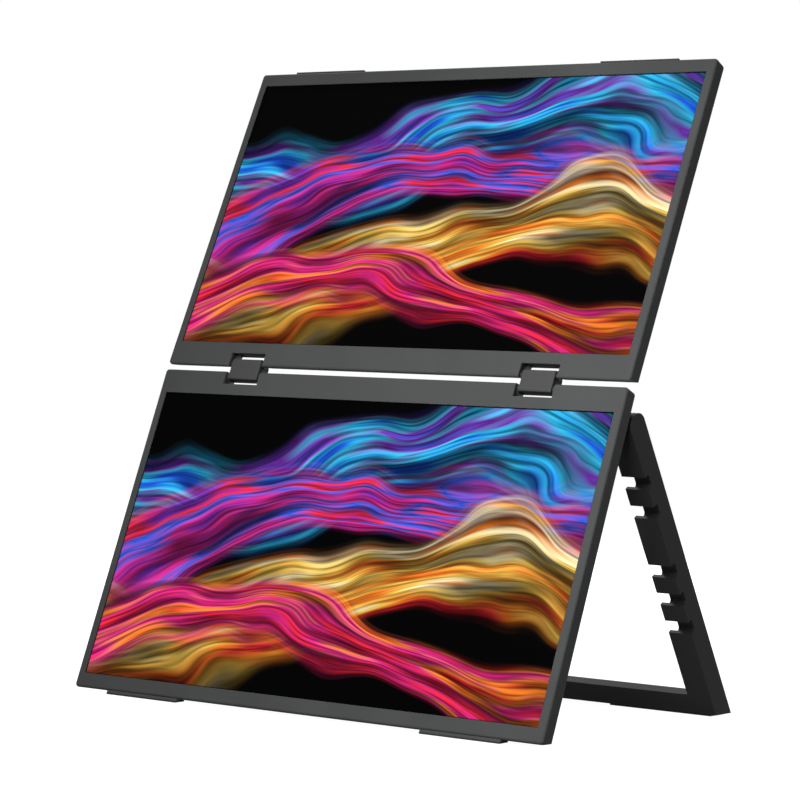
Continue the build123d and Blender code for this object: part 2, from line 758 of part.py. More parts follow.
with BuildPart() as board_screws:
    with BuildSketch(lower_base.offset(-board_front)):
        with Locations(*board_spots):
            Circle(screw_head)
    extrude(amount=screw_head_height)
    with BuildSketch(lower_base.offset(-board_front)):
        with Locations(*board_spots):
            Circle(screw_radius)
    extrude(amount=-main_board_thickness - 2.6)
board_screws.part.label = "board_screws"
export_step(board_screws.part, "parts/board_screws.step")

# Ports on the right side of the housing
port_start = housing_width / 2 - 0.2 - port_reach
with BuildPart() as usb_c_ports:
    with BuildSketch(base_side.offset(port_start)):
        with Locations(
            (port_places[1], -port_level), (port_places[2], -port_level), (port_places[4], -port_level)
        ):
            SlotOverall(usb_width, port_height)
    extrude(amount=port_reach)
    with BuildSketch(base_side.offset(port_start + 1.5)):
        with Locations(
            (port_places[1], -port_level), (port_places[2], -port_level), (port_places[4], -port_level)
        ):
            SlotOverall(usb_width - 0.7, port_height - 0.7)
    extrude(amount=port_reach, mode=Mode.SUBTRACT)
    with BuildSketch(base_side.offset(port_start + 1.5)):
        with Locations(
            (port_places[1], -port_level), (port_places[2], -port_level), (port_places[4], -port_level)
        ):
            Rectangle(6.6, 0.7)
    extrude(amount=port_reach - 2.2)
usb_c_ports.part.label = "usb_c_ports"
export_step(usb_c_ports.part, "parts/usb_c_ports.step")

with BuildPart() as mini_hdmi_port:
    with BuildSketch(base_side.offset(port_start)):
        with Locations((port_places[3], -port_level)):
            Rectangle(hdmi_width, port_height)
    extrude(amount=port_reach)
    with BuildSketch(base_side.offset(port_start + 1.5)):
        with Locations((port_places[3], -port_level)):
            Rectangle(hdmi_width - 0.8, port_height - 0.8)
    extrude(amount=port_reach, mode=Mode.SUBTRACT)
    with BuildSketch(base_side.offset(port_start + 1.5)):
        with Locations((port_places[3], -port_level)):
            Rectangle(8.4, 0.7)
    extrude(amount=port_reach - 2.2)
mini_hdmi_port.part.label = "mini_hdmi_port"
export_step(mini_hdmi_port.part, "parts/mini_hdmi_port.step")

with BuildPart() as audio_jack:
    with BuildSketch(base_side.offset(port_start)):
        with Locations((port_places[0], -jack_level)):
            Rectangle(jack_width, jack_height)
    extrude(amount=port_reach - housing_wall - 0.2)
    with BuildSketch(base_side.offset(port_start + port_reach - housing_wall - 0.2)):
        with Locations((port_places[0], -jack_level)):
            Circle(jack_radius)
    extrude(amount=housing_wall + 0.2)
    with BuildSketch(base_side.offset(port_start + port_reach - jack_depth)):
        with Locations((port_places[0], -jack_level)):
            Circle(jack_bore)
    extrude(amount=jack_depth, mode=Mode.SUBTRACT)
audio_jack.part.label = "audio_jack"
export_step(audio_jack.part, "parts/audio_jack.step")

# Buttons on the left side of the housing, each with a flange that stops it in the wall
button_face = -housing_width / 2 - button_proud
flange_face = -housing_width / 2 + housing_wall + 0.1
flange_thick = 1.2
with BuildPart() as power_button:
    with BuildSketch(base_side.offset(button_face)):
        with Locations((port_places[0], -port_level)):
            SlotOverall(button_length, button_height)
    extrude(amount=flange_face - button_face)
    with BuildSketch(base_side.offset(flange_face)):
        with Locations((port_places[0], -port_level)):
            SlotOverall(button_length + 2 * button_flange, button_height + 2 * button_flange)
    extrude(amount=flange_thick)
power_button.part.label = "power_button"
export_step(power_button.part, "parts/power_button.step")

with BuildPart() as menu_button:
    with BuildSketch(base_side.offset(button_face)):
        with Locations((port_places[1], -port_level)):
            SlotOverall(button_length, button_height)
    extrude(amount=flange_face - button_face)
    with BuildSketch(base_side.offset(flange_face)):
        with Locations((port_places[1], -port_level)):
            SlotOverall(button_length + 2 * button_flange, button_height + 2 * button_flange)
    extrude(amount=flange_thick)
menu_button.part.label = "menu_button"
export_step(menu_button.part, "parts/menu_button.step")

with BuildPart() as plus_button:
    with BuildSketch(base_side.offset(button_face)):
        with Locations((port_places[2], -port_level)):
            SlotOverall(button_length, button_height)
    extrude(amount=flange_face - button_face)
    with BuildSketch(base_side.offset(flange_face)):
        with Locations((port_places[2], -port_level)):
            SlotOverall(button_length + 2 * button_flange, button_height + 2 * button_flange)
    extrude(amount=flange_thick)
plus_button.part.label = "plus_button"
export_step(plus_button.part, "parts/plus_button.step")

with BuildPart() as minus_button:
    with BuildSketch(base_side.offset(button_face)):
        with Locations((port_places[3], -port_level)):
            SlotOverall(button_length, button_height)
    extrude(amount=flange_face - button_face)
    with BuildSketch(base_side.offset(flange_face)):
        with Locations((port_places[3], -port_level)):
            SlotOverall(button_length + 2 * button_flange, button_height + 2 * button_flange)
    extrude(amount=flange_thick)
minus_button.part.label = "minus_button"
export_step(minus_button.part, "parts/minus_button.step")

# Push switches behind the buttons and the lamp below them
switch_face = flange_face + flange_thick + button_travel + 0.1
with BuildPart() as push_switches:
    for place in port_places[0:4]:
        with BuildSketch(base_side.offset(switch_face)):
            with Locations((place, -board_front + port_height / 2)):
                Rectangle(switch_width, port_height)
        extrude(amount=switch_length)
push_switches.part.label = "push_switches"
export_step(push_switches.part, "parts/push_switches.step")

with BuildPart() as status_lamp:
    with BuildSketch(base_side.offset(-housing_width / 2 + 0.1)):
        with Locations((port_places[4], -port_level)):
            Circle(lamp_radius)
    extrude(amount=lamp_length)
    with BuildSketch(base_side.offset(-housing_width / 2 + housing_wall + 2.1)):
        with Locations((port_places[4], -port_level)):
            Rectangle(lamp_base, port_height)
    extrude(amount=lamp_base_length)
status_lamp.part.label = "status_lamp"
export_step(status_lamp.part, "parts/status_lamp.step")

# Speakers behind the slots in the housing
with BuildPart() as speakers:
    with BuildSketch(lower_base.offset(-housing_inner)):
        with Locations((-speaker_x, speaker_up), (speaker_x, speaker_up)):
            Rectangle(speaker_width, speaker_height)
    extrude(amount=speaker_thickness)
speakers.part.label = "speakers"
export_step(speakers.part, "parts/speakers.step")

# Pivot blocks inside the housing and the pins that carry the kickstand
block_low = pivot_up - pivot_block_drop
block_high = housing_high - housing_wall
with BuildPart() as stand_pivot_blocks:
    for start in (-housing_width / 2 + housing_wall, housing_width / 2 - housing_wall - pivot_block):
        with BuildSketch(base_side.offset(start)):
            with Locations(((block_low + block_high) / 2, -(housing_inner + pivot_block_front) / 2)):
                Rectangle(block_high - block_low, housing_inner - pivot_block_front)
            with Locations((pivot_up, -pivot_depth)):
                Circle(pin_radius + press_clearance, mode=Mode.SUBTRACT)
        extrude(amount=pivot_block)
stand_pivot_blocks.part.label = "stand_pivot_blocks"
export_step(stand_pivot_blocks.part, "parts/stand_pivot_blocks.step")

pin_length = housing_wall + pivot_block + arm_clearance + pin_reach
with BuildPart() as stand_pivot_pins:
    for start in (
        -housing_width / 2 - arm_clearance - pin_reach,
        housing_width / 2 - housing_wall - pivot_block,
    ):
        with BuildSketch(stand_side.offset(start)):
            Circle(pin_radius)
        extrude(amount=pin_length)
stand_pivot_pins.part.label = "stand_pivot_pins"
export_step(stand_pivot_pins.part, "parts/stand_pivot_pins.step")

# Kickstand: two L-section arms with plug slots, joined by an L-section foot bar cut flat by the table
arm_end = foot_reach + 6.0
arm_inner = stand_half - arm_width
flange_line = -arm_half + flange_depth / 2
with BuildPart() as kickstand_frame:
    for start in (-stand_half, stand_half - rail_width):
        with BuildSketch(stand_side.offset(start)):
            Circle(arm_half)
            with Locations((arm_end / 2, 0)):
                Rectangle(arm_end, 2 * arm_half)
        extrude(amount=rail_width)
    for start in (-stand_half + rail_width, arm_inner):
        with BuildSketch(stand_side.offset(start)):
            Circle(arm_half)
            with Locations((arm_end / 2, flange_line)):
                Rectangle(arm_end, flange_depth)
        extrude(amount=flange_width)
    with BuildSketch(stand_side.offset(-stand_half)):
        with Locations(((bar_top + bar_flange + arm_end) / 2, 0)):
            Rectangle(arm_end - bar_top - bar_flange, 2 * arm_half)
        with Locations((bar_top + bar_flange / 2, flange_line)):
            Rectangle(bar_flange, flange_depth)
    extrude(amount=2 * stand_half)
    for start in (-stand_half, arm_inner):
        with BuildSketch(stand_side.offset(start)):
            for place in slot_places:
                with Locations((place, -arm_half)):
                    RectangleRounded(slot_length, 2 * slot_depth, slot_round)
        extrude(amount=arm_width, mode=Mode.SUBTRACT)
    for start in (-arm_inner - pin_reach - 0.5, arm_inner):
        with BuildSketch(stand_side.offset(start)):
            Circle(bush_radius + press_clearance)
        extrude(amount=pin_reach + 0.5, mode=Mode.SUBTRACT)
    with Locations((0, 0, foot_pad - cutter / 2)):
        Box(2 * casing_width, 2 * casing_width, cutter, mode=Mode.SUBTRACT)
kickstand_frame.part.label = "kickstand_frame"
export_step(kickstand_frame.part, "parts/kickstand_frame.step")

with BuildPart() as stand_bushes:
    for start in (-arm_inner - pin_reach - 0.2, arm_inner + 0.3):
        with BuildSketch(stand_side.offset(start)):
            Circle(bush_radius)
            Circle(pin_radius + running_clearance, mode=Mode.SUBTRACT)
        extrude(amount=pin_reach - 0.1)
stand_bushes.part.label = "stand_bushes"
export_step(stand_bushes.part, "parts/stand_bushes.step")

# Rubber pads under the foot bar
with BuildPart() as stand_foot_pads:
    with BuildSketch(Plane.XY):
        for side in (-1, 1):
            with Locations(
                (
                    side * (stand_half - foot_pad_inset - foot_pad_length / 2),
                    (foot_front_y + foot_back_y) / 2,
                )
            ):
                Rectangle(foot_pad_length, foot_back_y - foot_front_y - 2.0)
    extrude(amount=foot_pad)
stand_foot_pads.part.label = "stand_foot_pads"
export_step(stand_foot_pads.part, "parts/stand_foot_pads.step")
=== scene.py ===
import math
import bmesh
import bpy
from mathutils import Matrix, Vector


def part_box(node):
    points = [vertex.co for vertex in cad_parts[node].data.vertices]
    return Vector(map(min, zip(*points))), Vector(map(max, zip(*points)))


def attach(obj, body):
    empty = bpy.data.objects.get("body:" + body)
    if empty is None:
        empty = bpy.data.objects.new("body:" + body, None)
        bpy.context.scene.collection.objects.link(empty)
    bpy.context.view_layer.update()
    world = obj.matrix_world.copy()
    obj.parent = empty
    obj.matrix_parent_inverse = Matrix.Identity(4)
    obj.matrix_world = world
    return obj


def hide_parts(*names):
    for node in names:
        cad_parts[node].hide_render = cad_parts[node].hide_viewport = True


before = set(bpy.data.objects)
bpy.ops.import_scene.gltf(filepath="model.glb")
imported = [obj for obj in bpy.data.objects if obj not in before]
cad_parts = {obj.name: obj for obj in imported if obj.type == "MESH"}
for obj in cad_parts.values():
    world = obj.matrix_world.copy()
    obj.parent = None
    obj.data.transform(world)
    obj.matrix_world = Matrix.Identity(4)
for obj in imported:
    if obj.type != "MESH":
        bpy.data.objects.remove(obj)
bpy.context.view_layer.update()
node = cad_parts

# Camera
# A long lens to the right of the screens, a little above the hinge line, as the photograph was taken.
# Its place and turn come from the corners of both screens and of the stand's foot.
camera_data = bpy.data.cameras.new("camera")
camera_data.sensor_width = 36.0
camera_data.lens = 129.543
camera = bpy.data.objects.new("camera", camera_data)
camera.location = (1.05378, -1.48489, 0.23078)
camera.rotation_euler = (math.radians(88.7628), math.radians(-1.693), math.radians(35.5698))
bpy.context.scene.collection.objects.link(camera)
bpy.context.scene.camera = camera
bpy.context.scene.view_settings.view_transform = "Standard"

# Studio floor and light
# A white sweep that glows to the eye and to reflections and still takes the object's soft shadow,
# under a world that is white to the eye and dim as a lamp. Softboxes do the lighting.
floor_reach = 2.0
floor_drop = 0.0002
floor_tone = 0.2
floor_glow_strength = 0.98
sky_lamp_strength = 0.04
sky_seen_strength = 1.0
white = (1, 1, 1, 1)
floor_corners = [
    (-floor_reach, -floor_reach, -floor_drop), (floor_reach, -floor_reach, -floor_drop),
    (floor_reach, floor_reach, -floor_drop), (-floor_reach, floor_reach, -floor_drop),
]
floor_mesh = bpy.data.meshes.new("studio_floor")
floor_mesh.from_pydata(floor_corners, [], [(0, 1, 2, 3)])
studio_floor = bpy.data.objects.new("studio_floor", floor_mesh)
bpy.context.scene.collection.objects.link(studio_floor)


def seen_rays(tree):
    path = tree.nodes.new("ShaderNodeLightPath")
    seen = path.outputs["Is Camera Ray"]
    for kind in ("Is Glossy Ray", "Is Transmission Ray"):
        either = tree.nodes.new("ShaderNodeMath")
        either.operation = "MAXIMUM"
        tree.links.new(seen, either.inputs[0])
        tree.links.new(path.outputs[kind], either.inputs[1])
        seen = either.outputs[0]
    return seen


floor_finish = bpy.data.materials.new("studio_floor")
floor_finish.use_nodes = True
floor_tree = floor_finish.node_tree
floor_tree.nodes.clear()
floor_out = floor_tree.nodes.new("ShaderNodeOutputMaterial")
floor_mix = floor_tree.nodes.new("ShaderNodeMixShader")
floor_both = floor_tree.nodes.new("ShaderNodeAddShader")
floor_matte = floor_tree.nodes.new("ShaderNodeBsdfDiffuse")
floor_matte.inputs["Color"].default_value = (floor_tone, floor_tone, floor_tone, 1)
floor_glow = floor_tree.nodes.new("ShaderNodeEmission")
floor_glow.inputs["Color"].default_value = white
floor_glow.inputs["Strength"].default_value = floor_glow_strength
floor_tree.links.new(floor_matte.outputs[0], floor_both.inputs[0])
floor_tree.links.new(floor_glow.outputs[0], floor_both.inputs[1])
floor_tree.links.new(seen_rays(floor_tree), floor_mix.inputs["Fac"])
floor_tree.links.new(floor_matte.outputs[0], floor_mix.inputs[1])
floor_tree.links.new(floor_both.outputs[0], floor_mix.inputs[2])
floor_tree.links.new(floor_mix.outputs[0], floor_out.inputs["Surface"])
studio_floor.data.materials.append(floor_finish)

world = bpy.data.worlds.new("studio")
world.use_nodes = True
bpy.context.scene.world = world
sky = world.node_tree
sky.nodes.clear()
sky_out = sky.nodes.new("ShaderNodeOutputWorld")
sky_mix = sky.nodes.new("ShaderNodeMixShader")
sky_light = sky.nodes.new("ShaderNodeBackground")
sky_light.inputs["Color"].default_value = white
sky_light.inputs["Strength"].default_value = sky_lamp_strength
sky_seen = sky.nodes.new("ShaderNodeBackground")
sky_seen.inputs["Color"].default_value = white
sky_seen.inputs["Strength"].default_value = sky_seen_strength
sky.links.new(seen_rays(sky), sky_mix.inputs["Fac"])
sky.links.new(sky_light.outputs[0], sky_mix.inputs[1])
sky.links.new(sky_seen.outputs[0], sky_mix.inputs[2])
sky.links.new(sky_mix.outputs[0], sky_out.inputs["Surface"])


def softbox(name, place, target, side, power):
    lamp_data = bpy.data.lights.new(name, "AREA")
    lamp_data.shape = "SQUARE"
    lamp_data.size = side
    lamp_data.energy = power
    lamp = bpy.data.objects.new(name, lamp_data)
    lamp.location = place
    aim = Vector(target) - Vector(place)
    lamp.rotation_euler = aim.to_track_quat("-Z", "Y").to_euler()
    bpy.context.scene.collection.objects.link(lamp)


softbox("key_light", place=(0.24, -0.54, 0.47), target=(0.10, 0, 0.22), side=0.3, power=4.7)
softbox("rim_light", place=(-1.2, 0.8, 1.55), target=(0, 0.09, 0.05), side=1.0, power=40)
softbox("back_light", place=(-0.25, 1.25, 0.5), target=(0, 0.05, 0.2), side=0.8, power=18)
softbox("side_light", place=(1.2, 0.3, 0.45), target=(0.17, 0.03, 0.2), side=0.6, power=0.3)

# Casing shells
# Both bezels, both rear trays and the rear housing are moulded in one dark grey plastic
# with a fine spark-eroded grain, faint clouding in its tone and sheen, and broken edges.
shell_edge = 0.0003
weld_distance = 0.00001
sharp_angle = math.radians(50)
cloud_scale = 18.0
cloud_detail = 4.0
grain_detail = 3.0
grain_share = 0.45
tint_start = 0.45
roughness_swing = 0.06
relief_strength = 0.25


def start_finish(name):
    finish = bpy.data.materials.new(name)
    finish.use_nodes = True
    tree = finish.node_tree
    shader = tree.nodes["Principled BSDF"]
    return finish, tree, shader


def grained(name, dark, light, roughness, grain_scale, grain_height, shine=0.5):
    finish, tree, shader = start_finish(name)
    place = tree.nodes.new("ShaderNodeTexCoord")
    grain = tree.nodes.new("ShaderNodeTexNoise")
    grain.inputs["Scale"].default_value = grain_scale
    grain.inputs["Detail"].default_value = grain_detail
    tree.links.new(place.outputs["Object"], grain.inputs["Vector"])
    cloud = tree.nodes.new("ShaderNodeTexNoise")
    cloud.inputs["Scale"].default_value = cloud_scale
    cloud.inputs["Detail"].default_value = cloud_detail
    tree.links.new(place.outputs["Object"], cloud.inputs["Vector"])
    both = tree.nodes.new("ShaderNodeMath")
    both.operation = "MULTIPLY_ADD"
    both.inputs[1].default_value = grain_share
    tree.links.new(grain.outputs["Fac"], both.inputs[0])
    tree.links.new(cloud.outputs["Fac"], both.inputs[2])
    tint = tree.nodes.new("ShaderNodeValToRGB")
    tint.color_ramp.elements[0].position = tint_start
    tint.color_ramp.elements[0].color = (*dark, 1)
    tint.color_ramp.elements[1].position = 1.0
    tint.color_ramp.elements[1].color = (*light, 1)
    tree.links.new(both.outputs[0], tint.inputs["Fac"])
    tree.links.new(tint.outputs["Color"], shader.inputs["Base Color"])
    sheen = tree.nodes.new("ShaderNodeMapRange")
    sheen.inputs["To Min"].default_value = roughness - roughness_swing
    sheen.inputs["To Max"].default_value = roughness + roughness_swing
    tree.links.new(cloud.outputs["Fac"], sheen.inputs["Value"])
    tree.links.new(sheen.outputs["Result"], shader.inputs["Roughness"])
    relief = tree.nodes.new("ShaderNodeBump")
    relief.inputs["Strength"].default_value = relief_strength
    relief.inputs["Distance"].default_value = grain_height
    tree.links.new(grain.outputs["Fac"], relief.inputs["Height"])
    tree.links.new(relief.outputs["Normal"], shader.inputs["Normal"])
    shader.inputs["Specular IOR Level"].default_value = shine
    return finish


def dress(finish, *names):
    for name in names:
        node[name].data.materials.clear()
        node[name].data.materials.append(finish)


def ease_edges(width, *names):
    for name in names:
        weld = node[name].modifiers.new("joined_faces", "WELD")
        weld.merge_threshold = weld_distance
        bevel = node[name].modifiers.new("eased_edges", "BEVEL")
        bevel.width = width
        bevel.segments = 2
        bevel.limit_method = "ANGLE"
        bevel.angle_limit = sharp_angle
        bevel.harden_normals = True


shell_plastic = grained(
    "shell_plastic", dark=(0.070, 0.0715, 0.072), light=(0.087, 0.089, 0.0895),
    roughness=0.6, grain_scale=2600.0, grain_height=0.0001, shine=0.02,
)
shell_names = ("lower_bezel", "upper_bezel", "lower_rear_cover", "upper_rear_cover", "rear_housing")
dress(shell_plastic, *shell_names)
ease_edges(shell_edge, *shell_names)

# Glass panels
# Two lit liquid crystal panels behind thin glass, clipped between the bezel's lip and the tray.
# Both show one abstract picture, silk-like bands of colour on black, inside a thin black border.
active_width = 0.3442
active_height = 0.1936
border = 0.0006
panel_glow = 1.6
glass_roughness = 0.4
glass_shine = 0.008
lower_lean = math.radians(22.0)
upper_lean = math.radians(25.0)


def panel_plane(middle, lean):
    up = Vector((0, math.sin(lean), math.cos(lean)))
    out = Vector((0, -math.cos(lean), math.sin(lean)))
    turn = Matrix((Vector((1, 0, 0)), up, out)).transposed().to_4x4()
    turn.translation = middle
    return turn


def math_step(tree, operation, first, second=None, third=None):
    step = tree.nodes.new("ShaderNodeMath")
    step.operation = operation
    for socket, value in zip(step.inputs, (first, second, third)):
        if value is None:
            continue
        if isinstance(value, (int, float)):
            socket.default_value = value
        else:
            tree.links.new(value, socket)
    return step.outputs[0]


def clouds(tree, across, along, seed, detail):
    place = tree.nodes.new("ShaderNodeCombineXYZ")
    tree.links.new(across, place.inputs["X"])
    tree.links.new(along, place.inputs["Y"])
    place.inputs["Z"].default_value = seed
    cloud = tree.nodes.new("ShaderNodeTexNoise")
    cloud.inputs["Scale"].default_value = 1.0
    cloud.inputs["Detail"].default_value = detail
    tree.links.new(place.outputs["Vector"], cloud.inputs["Vector"])
    return cloud.outputs["Fac"]


def smooth_step(tree, value, low, high):
    step = tree.nodes.new("ShaderNodeMapRange")
    step.interpolation_type = "SMOOTHSTEP"
    step.inputs["From Min"].default_value = low
    step.inputs["From Max"].default_value = high
    tree.links.new(value, step.inputs["Value"])
    return step.outputs["Result"]


def scaled(tree, colour, factor):
    step = tree.nodes.new("ShaderNodeVectorMath")
    step.operation = "SCALE"
    tree.links.new(colour, step.inputs[0])
    tree.links.new(factor, step.inputs["Scale"])
    return step.outputs["Vector"]


layer_seed = 4.0
wander_stretch = (1.2, 1.6)
wander_reach = 0.5
breadth_stretch = (1.5, 0.2)
least_breadth = 0.15
breadth_swing = 1.7
rim_fade = 0.5
fold_stretch = (1.6, 2.4)
fold_range = (0.36, 0.62)
fold_glow = 0.75
least_glow = 0.12
thread_stretch = (3.0, 15.0)
thread_range = (0.32, 0.66)
thread_glow = 0.85
least_thread = 0.3
hue_stretch = (2.2, 3.2)
hue_middle = 0.5
hue_contrast = 2.0
hue_lean = 0.22


def stretched_clouds(tree, across, along, stretch, seed, detail):
    wide = math_step(tree, "MULTIPLY", across, stretch[0])
    high = math_step(tree, "MULTIPLY", along, stretch[1])
    return clouds(tree, wide, high, seed, detail)


def silk_band(tree, x, y, level, swing, pitch, shift, spread, seed, colours):
    wander = stretched_clouds(tree, x, y, wander_stretch, seed, detail=2.0)
    wave = math_step(tree, "SINE", math_step(tree, "MULTIPLY_ADD", x, pitch, shift))
    middle = math_step(tree, "MULTIPLY_ADD", wave, swing, level - wander_reach / 2)
    middle = math_step(tree, "MULTIPLY_ADD", wander, wander_reach, middle)
    breadth = stretched_clouds(tree, x, y, breadth_stretch, seed + layer_seed, detail=1.0)
    breadth = math_step(tree, "MULTIPLY_ADD", breadth, breadth_swing * spread, least_breadth * spread)
    t = math_step(tree, "DIVIDE", math_step(tree, "SUBTRACT", y, middle), breadth)
    rim = smooth_step(tree, math_step(tree, "SUBTRACT", 1.0, math_step(tree, "ABSOLUTE", t)), 0.0, rim_fade)
    fold = stretched_clouds(tree, x, t, fold_stretch, seed + 2 * layer_seed, detail=3.0)
    fold = smooth_step(tree, fold, *fold_range)
    thread = stretched_clouds(tree, x, t, thread_stretch, seed + 3 * layer_seed, detail=3.0)
    thread = smooth_step(tree, thread, *thread_range)
    hue = stretched_clouds(tree, x, t, hue_stretch, seed + 4 * layer_seed, detail=2.0)
    hue = math_step(tree, "SUBTRACT", hue, hue_middle)
    hue = math_step(tree, "MULTIPLY_ADD", hue, hue_contrast, hue_middle)
    hue = math_step(tree, "MULTIPLY_ADD", t, hue_lean, hue)
    ramp = tree.nodes.new("ShaderNodeValToRGB")
    ramp.color_ramp.elements[0].color = (*colours[0], 1)
    ramp.color_ramp.elements[1].color = (*colours[-1], 1)
    for index, colour in enumerate(colours[1:-1]):
        stop = ramp.color_ramp.elements.new((index + 1) / (len(colours) - 1))
        stop.color = (*colour, 1)
    tree.links.new(hue, ramp.inputs["Fac"])
    glow = math_step(tree, "MULTIPLY_ADD", fold, fold_glow, least_glow)
    sparkle = math_step(tree, "MULTIPLY_ADD", thread, thread_glow, least_thread)
    glow = math_step(tree, "MULTIPLY", math_step(tree, "MULTIPLY", glow, sparkle), rim)
    return ramp.outputs["Color"], glow, rim


black = (0.0008, 0.0008, 0.001)
navy = (0.006, 0.012, 0.12)
blue = (0.012, 0.09, 0.62)
cyan = (0.03, 0.50, 0.80)
violet = (0.18, 0.03, 0.42)
magenta = (0.62, 0.02, 0.20)
red = (0.75, 0.02, 0.035)
orange = (0.92, 0.22, 0.02)
yellow = (0.95, 0.60, 0.10)
cream = (0.95, 0.80, 0.45)
blue_band = (navy, blue, cyan, violet, blue)
violet_band = (violet, magenta, blue, red, violet)
golden_band = (red, orange, yellow, cream, orange)
red_band = (magenta, red, magenta, orange, red)
bands = (
    dict(level=0.22, swing=0.16, pitch=2.6, shift=0.4, spread=0.20, seed=3.1, colours=blue_band),
    dict(level=0.00, swing=0.20, pitch=2.1, shift=1.1, spread=0.16, seed=21.7, colours=violet_band),
    dict(level=-0.20, swing=0.18, pitch=2.4, shift=0.2, spread=0.19, seed=40.3, colours=golden_band),
    dict(level=-0.36, swing=0.12, pitch=3.0, shift=2.2, spread=0.13, seed=63.9, colours=red_band),
)


def rest_place(tree):
    place = tree.nodes.new("ShaderNodeTexCoord")
    return place.outputs["Object"]


def separated(tree, vector):
    parts = tree.nodes.new("ShaderNodeSeparateXYZ")
    tree.links.new(vector, parts.inputs["Vector"])
    return parts.outputs


def flat_place(tree, turn):
    inverse = turn.inverted()
    flat = tree.nodes.new("ShaderNodeMapping")
    flat.vector_type = "POINT"
    flat.inputs["Location"].default_value = inverse.translation
    flat.inputs["Rotation"].default_value = inverse.to_euler()
    tree.links.new(rest_place(tree), flat.inputs["Vector"])
    return separated(tree, flat.outputs["Vector"])


def within(tree, distance, reach, fade_start, fade_end):
    margin = math_step(tree, "SUBTRACT", reach, math_step(tree, "ABSOLUTE", distance))
    return smooth_step(tree, margin, fade_start, fade_end)


def lit_panel(name, turn):
    finish, tree, shader = start_finish(name)
    place = flat_place(tree, turn)
    x = math_step(tree, "DIVIDE", place["X"], active_height)
    y = math_step(tree, "DIVIDE", place["Y"], active_height)
    picture = None
    for band in bands:
        colour, glow, rim = silk_band(tree, x, y, **band)
        lit = scaled(tree, colour, glow)
        if picture is None:
            picture = lit
            continue
        covered = scaled(tree, picture, math_step(tree, "SUBTRACT", 1.0, rim))
        total = tree.nodes.new("ShaderNodeVectorMath")
        total.operation = "ADD"
        tree.links.new(covered, total.inputs[0])
        tree.links.new(lit, total.inputs[1])
        picture = total.outputs["Vector"]
    for axis, size in (("X", active_width), ("Y", active_height)):
        clear = within(tree, place[axis], size / 2, 0.5 * border, 1.5 * border)
        picture = scaled(tree, picture, clear)
    tree.links.new(picture, shader.inputs["Emission Color"])
    shader.inputs["Emission Strength"].default_value = panel_glow
    shader.inputs["Base Color"].default_value = (*black, 1)
    shader.inputs["Roughness"].default_value = glass_roughness
    shader.inputs["Specular IOR Level"].default_value = glass_shine
    return finish


def middle_of(name):
    low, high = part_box(name)
    return (low + high) / 2


lower_frame = panel_plane(middle_of("lower_lcd_panel"), lower_lean)
upper_frame = panel_plane(middle_of("upper_lcd_panel"), upper_lean)
dress(lit_panel("lower_picture", lower_frame), "lower_lcd_panel")
dress(lit_panel("upper_picture", upper_frame), "upper_lcd_panel")

# Hinge blocks
# Two die-cast blocks between the screens, each carrying one shaft for the lower and one for the upper,
# sprayed with the same grey as the casings. Painted shade darkens the walls of the notches that they sit in
# and the sides of the blocks.
block_edge = 0.0003
notch_side_gap = 0.0026
notch_end_gap = 0.009
notch_fade = 0.0002
notch_shade_front = 0.0010
wall_shade_back = -0.0066
block_shade_back = -0.0035
notch_shade_fade = 0.0006
notch_shade_strength = 0.32
hinge_paint = grained(
    "hinge_paint", dark=(0.062, 0.062, 0.064), light=(0.079, 0.079, 0.081),
    roughness=0.55, grain_scale=2200.0, grain_height=0.0001, shine=0.05,
)
dress(hinge_paint, "hinge_link_left", "hinge_link_right")
ease_edges(block_edge, "hinge_link_left", "hinge_link_right")


def shade_tint(tree, mask, shade):
    shader = tree.nodes["Principled BSDF"]
    clean_tint = shader.inputs["Base Color"].links[0].from_socket
    factor = math_step(tree, "MULTIPLY_ADD", mask, shade - 1.0, 1.0)
    tree.links.new(scaled(tree, clean_tint, factor), shader.inputs["Base Color"])


# Painted shade: darkens the notch walls and the block sides in the hinge gap, where shade falls.
def shade_notches(finish, painted_shade_back):
    tree = finish.node_tree
    low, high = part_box("hinge_link_right")
    middle = (low + high) / 2
    place = separated(tree, rest_place(tree))
    side = math_step(tree, "SUBTRACT", math_step(tree, "ABSOLUTE", place["X"]), middle.x)
    rise = math_step(tree, "SUBTRACT", place["Z"], middle.z)
    beside = within(tree, side, high.x - middle.x + notch_side_gap, 0.0, notch_fade)
    level = within(tree, rise, high.z - middle.z + notch_end_gap, 0.0, notch_fade)
    painted_notch_shade = math_step(tree, "MULTIPLY", beside, level)
    for turn in (lower_frame, upper_frame):
        depth = flat_place(tree, turn)["Z"]
        behind = smooth_step(tree, math_step(tree, "SUBTRACT", notch_shade_front, depth), 0.0, notch_shade_fade)
        before = smooth_step(tree, math_step(tree, "SUBTRACT", depth, painted_shade_back), 0.0, notch_shade_fade)
        painted_notch_shade = math_step(tree, "MULTIPLY", painted_notch_shade, math_step(tree, "MULTIPLY", behind, before))
    shade_tint(tree, painted_notch_shade, notch_shade_strength)


# Painted shade in the notches, on the casings and on the hinge blocks.
shade_notches(shell_plastic, wall_shade_back)
shade_notches(hinge_paint, block_shade_back)

# Hinge shafts and brackets
# Turned steel shafts pressed in the blocks, running in the ears of stamped and folded brackets,
# all in a dark zinc plating, with small machine screws that hold the brackets in the trays.
plating_metal = 0.8


def plated_steel(name, dark, light, roughness):
    finish = grained(name, dark, light, roughness, grain_scale=900.0, grain_height=0.00005)
    finish.node_tree.nodes["Principled BSDF"].inputs["Metallic"].default_value = plating_metal
    return finish


shaft_steel = plated_steel(
    "shaft_steel", dark=(0.10, 0.10, 0.105), light=(0.16, 0.16, 0.165), roughness=0.28,
)
bracket_steel = plated_steel(
    "bracket_steel", dark=(0.035, 0.035, 0.037), light=(0.06, 0.06, 0.062), roughness=0.42,
)
dress(shaft_steel, "lower_hinge_shafts", "upper_hinge_shafts", "stand_pivot_pins")
dress(bracket_steel, "lower_hinge_brackets", "upper_hinge_brackets", "stand_pivot_blocks")
dress(bracket_steel, "lower_bracket_screws", "upper_bracket_screws", "board_screws")

